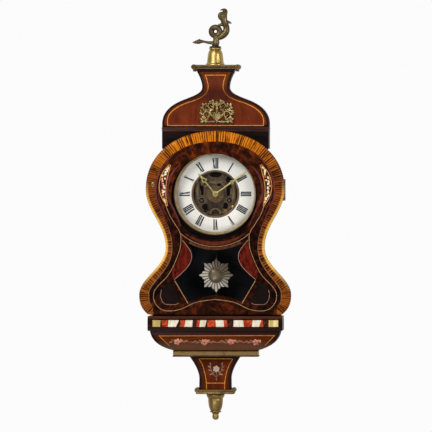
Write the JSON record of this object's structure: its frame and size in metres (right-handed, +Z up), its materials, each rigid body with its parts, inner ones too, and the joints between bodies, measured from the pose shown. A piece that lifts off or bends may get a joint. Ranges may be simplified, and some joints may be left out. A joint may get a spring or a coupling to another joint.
{
  "type": "musical wall clock",
  "caption": "Waisted veneered wall clock with a hinged front door, open-centre dial, star-bob pendulum, strike, and a small pinned-cylinder musical movement in its base.",
  "frame": {"origin": "on the flat back of the backboard, level with the centre of the dial", "axes": "+Z up, +X to the right as seen from the front, front towards -Y, wall side towards +Y"},
  "size_m": [0.2964, 0.1199, 0.7978],
  "materials": {
    "board": "plain oiled softwood",
    "veneer": "polished figured veneer with cross-banding and stringing",
    "ebonised": "black-stained polished wood",
    "brass": "aged polished brass",
    "gilt": "gilt brass",
    "bronze": "patinated cast bronze",
    "bell_metal": "turned bell metal",
    "steel": "polished steel",
    "silver": "tarnished silvered metal",
    "enamel": "glossy white enamel",
    "inlay": "polished bone and coloured inlay",
    "glass": "clear flat glass"
  },
  "bodies": {
    "case": {"backboard": "board", "hanger_plate": "brass", "case_side_left": "veneer", "case_side_right": "veneer", "case_floor": "board", "crest_block": "ebonised", "crest_head": "veneer", "crest_mount": "gilt", "crest_cap": "brass", "finial_foot": "brass", "finial_figure": "bronze", "plinth": "ebonised", "inlay_strip": "inlay", "corbel": "veneer", "base_strip": "brass", "neck_block": "veneer", "lower_cap": "brass", "pendant": "brass", "hinge_upper_case_leaf": "brass", "hinge_lower_case_leaf": "brass", "front_plate": "brass", "back_plate": "brass", "movement_post_left": "board", "movement_post_right": "board", "dial_ring": "enamel", "suspension_cock": "brass", "bell": "bell_metal", "bell_stand": "steel", "music_bedplate": "brass", "music_comb": "steel", "music_spring_drum": "brass"},
    "door": {"door_frame": "veneer", "dial_bezel": "brass", "dial_glass": "glass", "window_glass": "glass", "hinge_upper_door_leaf": "brass", "hinge_lower_door_leaf": "brass", "lock_case": "brass"},
    "bolt": {"lock_bolt": "steel"},
    "minute": {"minute_hand": "gilt", "cannon_pinion": "brass"},
    "hour": {"hour_hand": "gilt", "hour_wheel": "brass"},
    "motion": {"minute_wheel": "brass"},
    "going": {"going_barrel": "brass"},
    "striking": {"strike_barrel": "brass"},
    "winder_left": {"winding_arbor_left": "steel"},
    "winder_right": {"winding_arbor_right": "steel"},
    "centre": {"centre_wheel": "brass"},
    "third": {"third_wheel": "brass"},
    "escape": {"escape_wheel": "brass"},
    "pallets": {"pallet_anchor": "steel"},
    "pendulum": {"pendulum_rod": "steel", "pendulum_bob": "silver", "rating_nut": "brass"},
    "hammer": {"hammer": "steel"},
    "cylinder": {"music_cylinder": "brass"},
    "fly": {"music_fly": "brass"}
  },
  "joints": [
    {"name": "door_swing", "type": "hinge", "parent": "case", "child": "door", "pos_m": [0.134, -0.09125, -0.094], "axis": [0, 0, 1], "range_deg": [0, 95]},
    {"name": "bolt_slide", "type": "slide", "parent": "door", "child": "bolt", "axis": [-1, 0, 0], "range_m": [0, 0.01]},
    {"name": "minute_turn", "type": "hinge", "parent": "case", "child": "minute", "pos_m": [0, -0.07, 0], "axis": [0, 1, 0], "continuous": true},
    {"name": "hour_turn", "type": "hinge", "parent": "case", "child": "hour", "pos_m": [0, -0.07, 0], "axis": [0, 1, 0], "continuous": true},
    {"name": "motion_turn", "type": "hinge", "parent": "case", "child": "motion", "pos_m": [0, -0.07, -0.0216], "axis": [0, 1, 0], "continuous": true},
    {"name": "centre_turn", "type": "hinge", "parent": "case", "child": "centre", "pos_m": [0, -0.07, 0], "axis": [0, 1, 0], "continuous": true},
    {"name": "going_turn", "type": "hinge", "parent": "case", "child": "going", "pos_m": [0.027, -0.07, -0.0127], "axis": [0, 1, 0], "continuous": true},
    {"name": "third_turn", "type": "hinge", "parent": "case", "child": "third", "pos_m": [-0.015, -0.07, 0.022], "axis": [0, 1, 0], "continuous": true},
    {"name": "escape_turn", "type": "hinge", "parent": "case", "child": "escape", "pos_m": [0, -0.07, 0.033], "axis": [0, 1, 0], "continuous": true},
    {"name": "strike_turn", "type": "hinge", "parent": "case", "child": "striking", "pos_m": [-0.027, -0.07, -0.0127], "axis": [0, 1, 0], "continuous": true},
    {"name": "winding_left_turn", "type": "hinge", "parent": "case", "child": "winder_left", "pos_m": [-0.027, -0.07, -0.0127], "axis": [0, 1, 0], "continuous": true},
    {"name": "winding_right_turn", "type": "hinge", "parent": "case", "child": "winder_right", "pos_m": [0.027, -0.07, -0.0127], "axis": [0, 1, 0], "continuous": true},
    {"name": "pendulum_swing", "type": "hinge", "parent": "case", "child": "pendulum", "pos_m": [0, -0.044, 0.052], "axis": [0, 1, 0], "range_deg": [-4, 4]},
    {"name": "pallet_rock", "type": "hinge", "parent": "case", "child": "pallets", "pos_m": [0, -0.06, 0.052], "axis": [0, 1, 0], "range_deg": [-4, 4]},
    {"name": "hammer_lift", "type": "hinge", "parent": "case", "child": "hammer", "pos_m": [-0.0375, -0.04, 0.012], "axis": [0, 1, 0], "range_deg": [0, 14], "stiffness_Nm_per_rad": 0.02, "springref_deg": -2.86},
    {"name": "cylinder_turn", "type": "hinge", "parent": "case", "child": "cylinder", "pos_m": [-0.003, -0.05, -0.268], "axis": [1, 0, 0], "continuous": true},
    {"name": "fly_turn", "type": "hinge", "parent": "case", "child": "fly", "pos_m": [0.066, -0.05, -0.27], "axis": [0, 0, 1], "continuous": true}
  ],
  "couplings": [
    {"joint": "motion_turn", "follows": "minute_turn", "ratio": -0.33333},
    {"joint": "hour_turn", "follows": "minute_turn", "ratio": 0.083333},
    {"joint": "pallet_rock", "follows": "pendulum_swing", "ratio": 1},
    {"joint": "fly_turn", "follows": "cylinder_turn", "ratio": 12},
    {"joint": "going_turn", "follows": "centre_turn", "ratio": -0.16667},
    {"joint": "third_turn", "follows": "centre_turn", "ratio": -6},
    {"joint": "escape_turn", "follows": "centre_turn", "ratio": 30}
  ]
}
